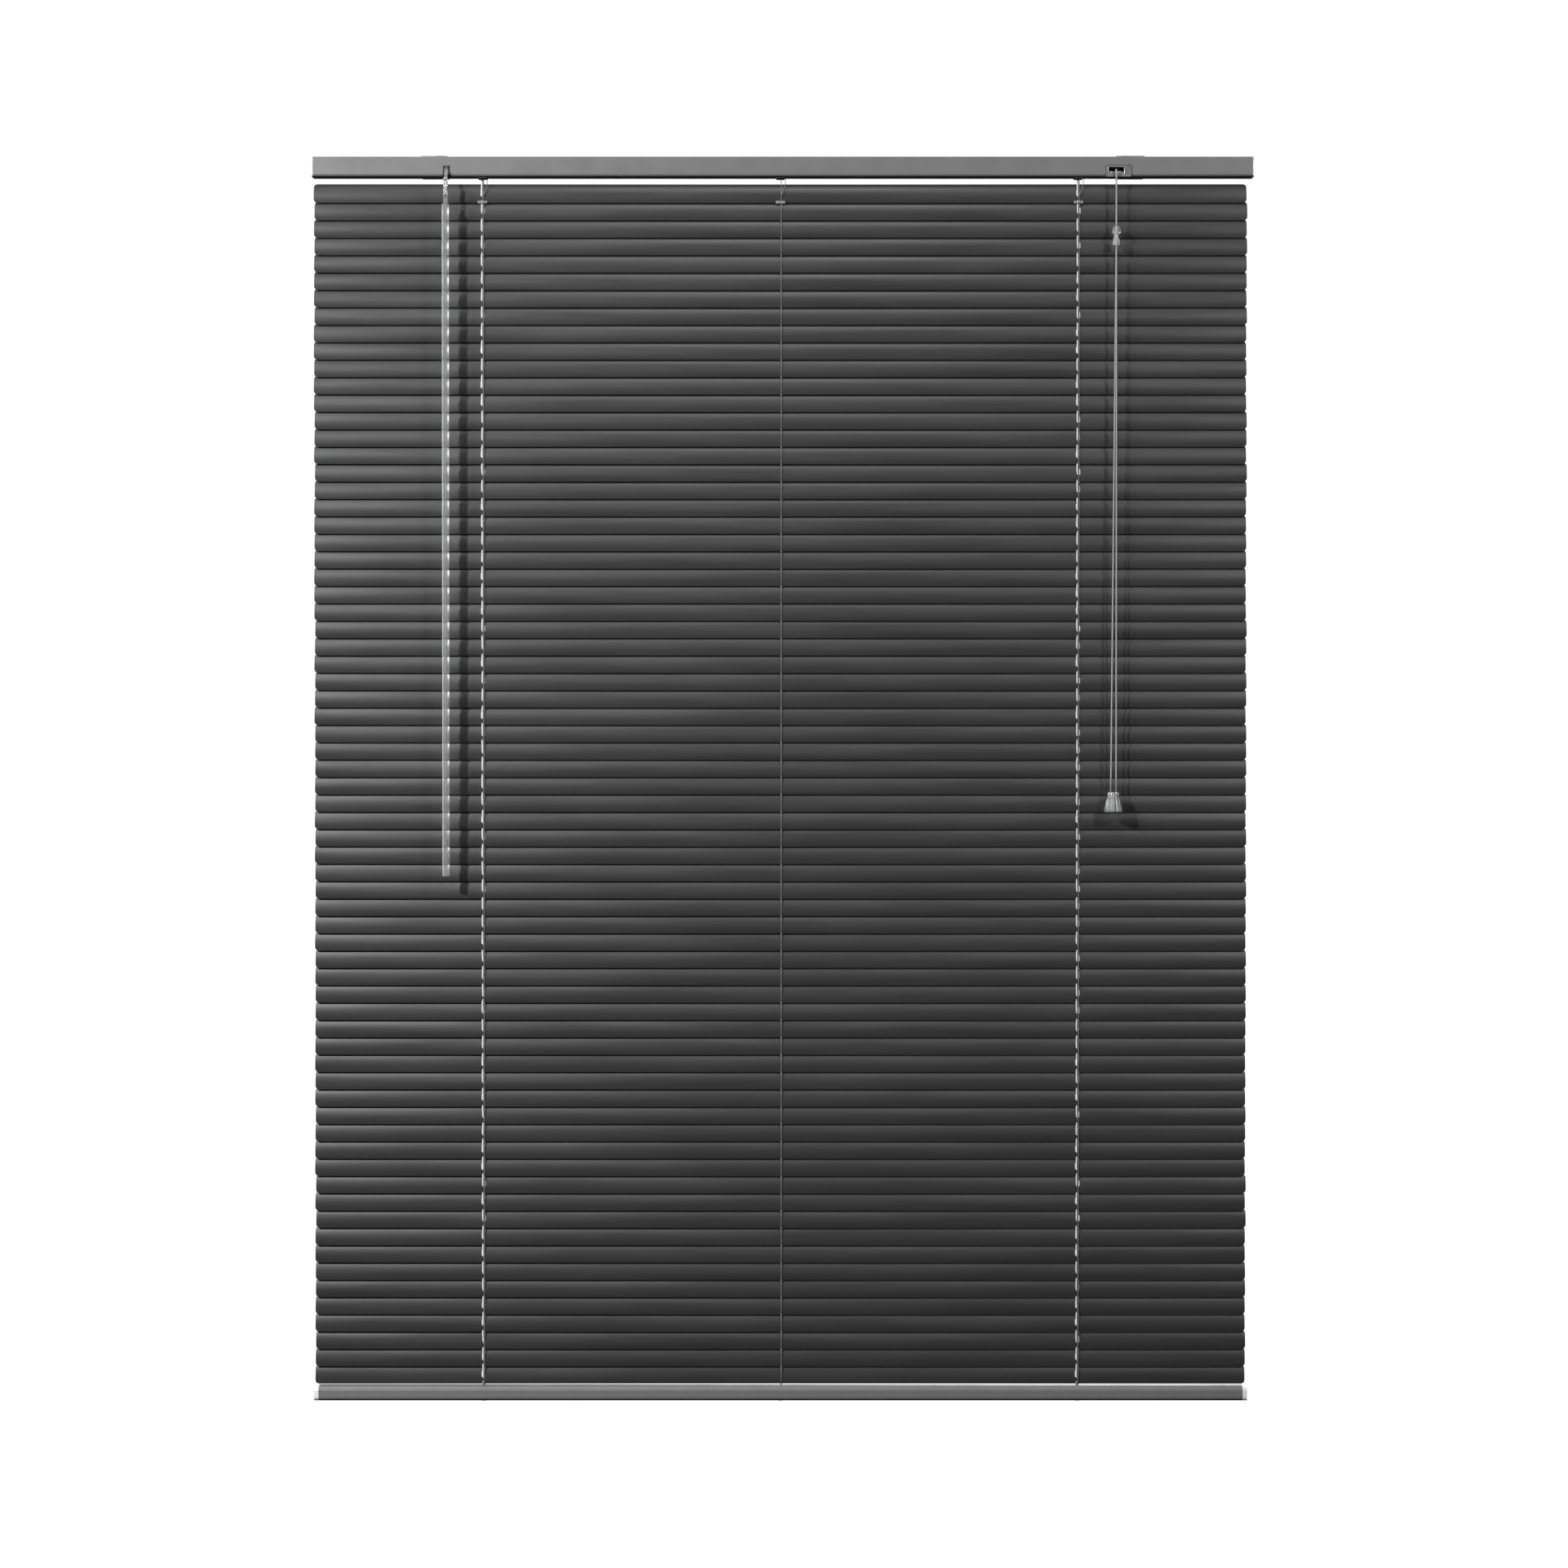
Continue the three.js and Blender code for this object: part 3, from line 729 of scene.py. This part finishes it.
def make_guides():
    """The dark lip of each drum's cradle, which shows under the head rail."""
    for side, x in LADDER_X.items():
        bottom = RAIL_LOW.z - GUIDE_DROP
        top = RAIL_LOW.z + GUIDE_RISE
        rim = []
        for side_x in (-1, 1):
            near, far = sorted((x + side_x * GUIDE_SLOT_X, x + side_x * GUIDE_HALF_X))
            rim.append(block((near, RAIL_Y - GUIDE_HALF_Y, bottom), (far, RAIL_Y + GUIDE_HALF_Y, top)))
        for side_y in (-1, 1):
            near, far = sorted((RAIL_Y + side_y * GUIDE_SLOT_Y, RAIL_Y + side_y * GUIDE_HALF_Y))
            rim.append(block((x - GUIDE_END_X, near, bottom), (x + GUIDE_END_X, far, top)))
        guide = piece(f"ladder_guide_{side}", *join_meshes(rim), DARK_PLASTIC, "dark_plastic", False)
        soften(guide, 0.4 * MM)
        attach(guide, "head_rail")


def ring_plate(outer, inner, front, back, middle_x, middle_z, corner):
    """A flat frame facing the room: outer and inner are half widths and half heights."""
    loops = []
    inside = corner * 0.6
    rings = ((outer, corner, back), (outer, corner, front), (inner, inside, front), (inner, inside, back))
    for (half_x, half_z), radius, y in rings:
        loop = []
        for quarter in range(4):
            sx, sz = ((1, 1), (-1, 1), (-1, -1), (1, -1))[quarter]
            for step in range(5):
                a = math.radians(90 * quarter + 22.5 * step)
                x = middle_x + sx * (half_x - radius) + radius * math.cos(a)
                z = middle_z + sz * (half_z - radius) + radius * math.sin(a)
                loop.append(Vector((x, y, z)))
        loops.append(loop)
    count = len(loops[0])
    faces = []
    for k in range(4):
        a, b = k * count, (k + 1) % 4 * count
        faces += [(a + i, b + i, b + (i + 1) % count, a + (i + 1) % count) for i in range(count)]
    return [v for loop in loops for v in loop], faces


def make_lock_frames():
    """A raised rim round the lock's plate and a thinner one round its mouth."""
    low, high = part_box("cord_lock_housing")
    x = (low.x + high.x) / 2
    z = PLATE_MIDDLE_Z
    front = low.y
    rims = {
        "plate_rim": ((15.9, 7.7), (14.7, 6.5), 0.7, x, 1.6, RAIL_PAINT, "rail_grey"),
        "mouth_rim": ((11, 5.4), (10, 4.5), 0.5, MOUTH_X, 1.4, STEEL, "steel"),
    }
    for name, (outer, inner, rise, middle_x, corner, material, slot) in rims.items():
        halves = [tuple(v * MM for v in pair) for pair in (outer, inner)]
        ring = ring_plate(*halves, front - rise * MM, front + 0.2 * MM, middle_x, z, corner * MM)
        rim = piece(f"lock_{name}", *ring, material, slot)
        soften(rim, 0.15 * MM)
        shade_by_angle(rim)
        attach(rim, "head_rail")


def make_guide_pin():
    """The knurled steel pin that the cords bend over in the lock's mouth."""
    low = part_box("cord_lock_housing")[0]
    path = [(x * MM, low.y + 0.4 * MM, -8.5 * MM) for x in (415.4, 433.6)]
    pin = piece("lock_pin", *tube(path, 1.1 * MM, 48, 1, 12, 0.16), STEEL, "steel")
    shade_by_angle(pin, 60)
    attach(pin, "head_rail")


def make_plugs():
    """The button under the bottom rail that closes each ladder's hole."""
    for side, x in LADDER_X.items():
        centre = Vector((x, RAIL_Y, 0))
        z = BASE_LOW.z
        outline = ((0.05, 0.6), (4.5, 0.6), (4.6, -0.2), (4, -0.9), (0.05, -1.1))
        profile = [(r * MM, z + dz * MM) for r, dz in outline]
        plug = piece(f"rail_plug_{side}", *lathe(profile, centre, 24), END_PLASTIC, "end_plastic")
        shade_by_angle(plug)
        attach(plug, "bottom_rail")


def finish_cad_nodes():
    """Materials and softened edges for the CAD nodes that stay in view."""
    slots = {row["node"]: row["material_slot"] for row in frame["record"]["subparts"]}
    for name, node in frame["nodes"].items():
        if node.hide_render:
            continue
        node.data.materials.clear()
        node.data.materials.append(BY_SLOT[slots[name]])
        if name not in ("cord_lock_roller", "tilter_worm"):
            soften(node, 0.25 * MM)
        shade_by_angle(node, 32)


# ---------------------------------------------------------------- stage and light


def make_light(name, place, size, energy, target=(0, 0, -0.8), spread=180):
    data = bpy.data.lights.new(name, "AREA")
    data.size = size
    data.energy = energy
    data.spread = math.radians(spread)
    light = bpy.data.objects.new(name, data)
    bpy.context.scene.collection.objects.link(light)
    light.location = place
    light.rotation_mode = "QUATERNION"
    light.rotation_quaternion = (Vector(target) - Vector(place)).to_track_quat("-Z", "Y")


def make_world(seen, lit):
    """White behind the object and through its clear plastic, and a dim even light on the rest."""
    world = bpy.data.worlds.new("studio")
    bpy.context.scene.world = world
    world.use_nodes = True
    tree = world.node_tree
    background = tree.nodes["Background"]
    background.inputs["Color"].default_value = (1, 1, 1, 1)
    rays = tree.nodes.new("ShaderNodeLightPath")
    strength = tree.nodes.new("ShaderNodeMapRange")
    strength.inputs["To Min"].default_value = lit
    strength.inputs["To Max"].default_value = seen
    bright = tree.nodes.new("ShaderNodeMath")
    bright.operation = "MAXIMUM"
    tree.links.new(rays.outputs["Is Camera Ray"], bright.inputs[0])
    tree.links.new(rays.outputs["Is Transmission Ray"], bright.inputs[1])
    tree.links.new(bright.outputs["Value"], strength.inputs["Value"])
    tree.links.new(strength.outputs["Result"], background.inputs["Strength"])


make_slats()
make_ladders()
make_rungs()
make_lift_cords()
make_clips()
cords = make_pull_cords()
joiner = make_joiner()
tassel = make_tassel()
knots = make_knots()
make_wand()
make_hook()
make_guides()
make_lock_frames()
make_guide_pin()
make_plugs()
finish_cad_nodes()
make_light("key", (-2.2, -2.4, 1.1), 0.18, 80, (-0.5, 0, -1.7), 100)
make_light("side", (-3.0, -2.2, 1.4), 0.16, 36, (-0.2, 0, -1.2), 120)
make_light("fill", (2.0, -2.4, 1.0), 0.4, 36, (0.3, 0, -1.2), 130)
make_light("overhead", (0, -1.6, 1.7), 0.9, 14)
make_light("behind", (0.8, 2.6, 0.9), 1.2, 120, (0, 0, -0.8), 140)
make_world(1.05, 0.025)
bpy.context.scene.view_settings.view_transform = "Standard"
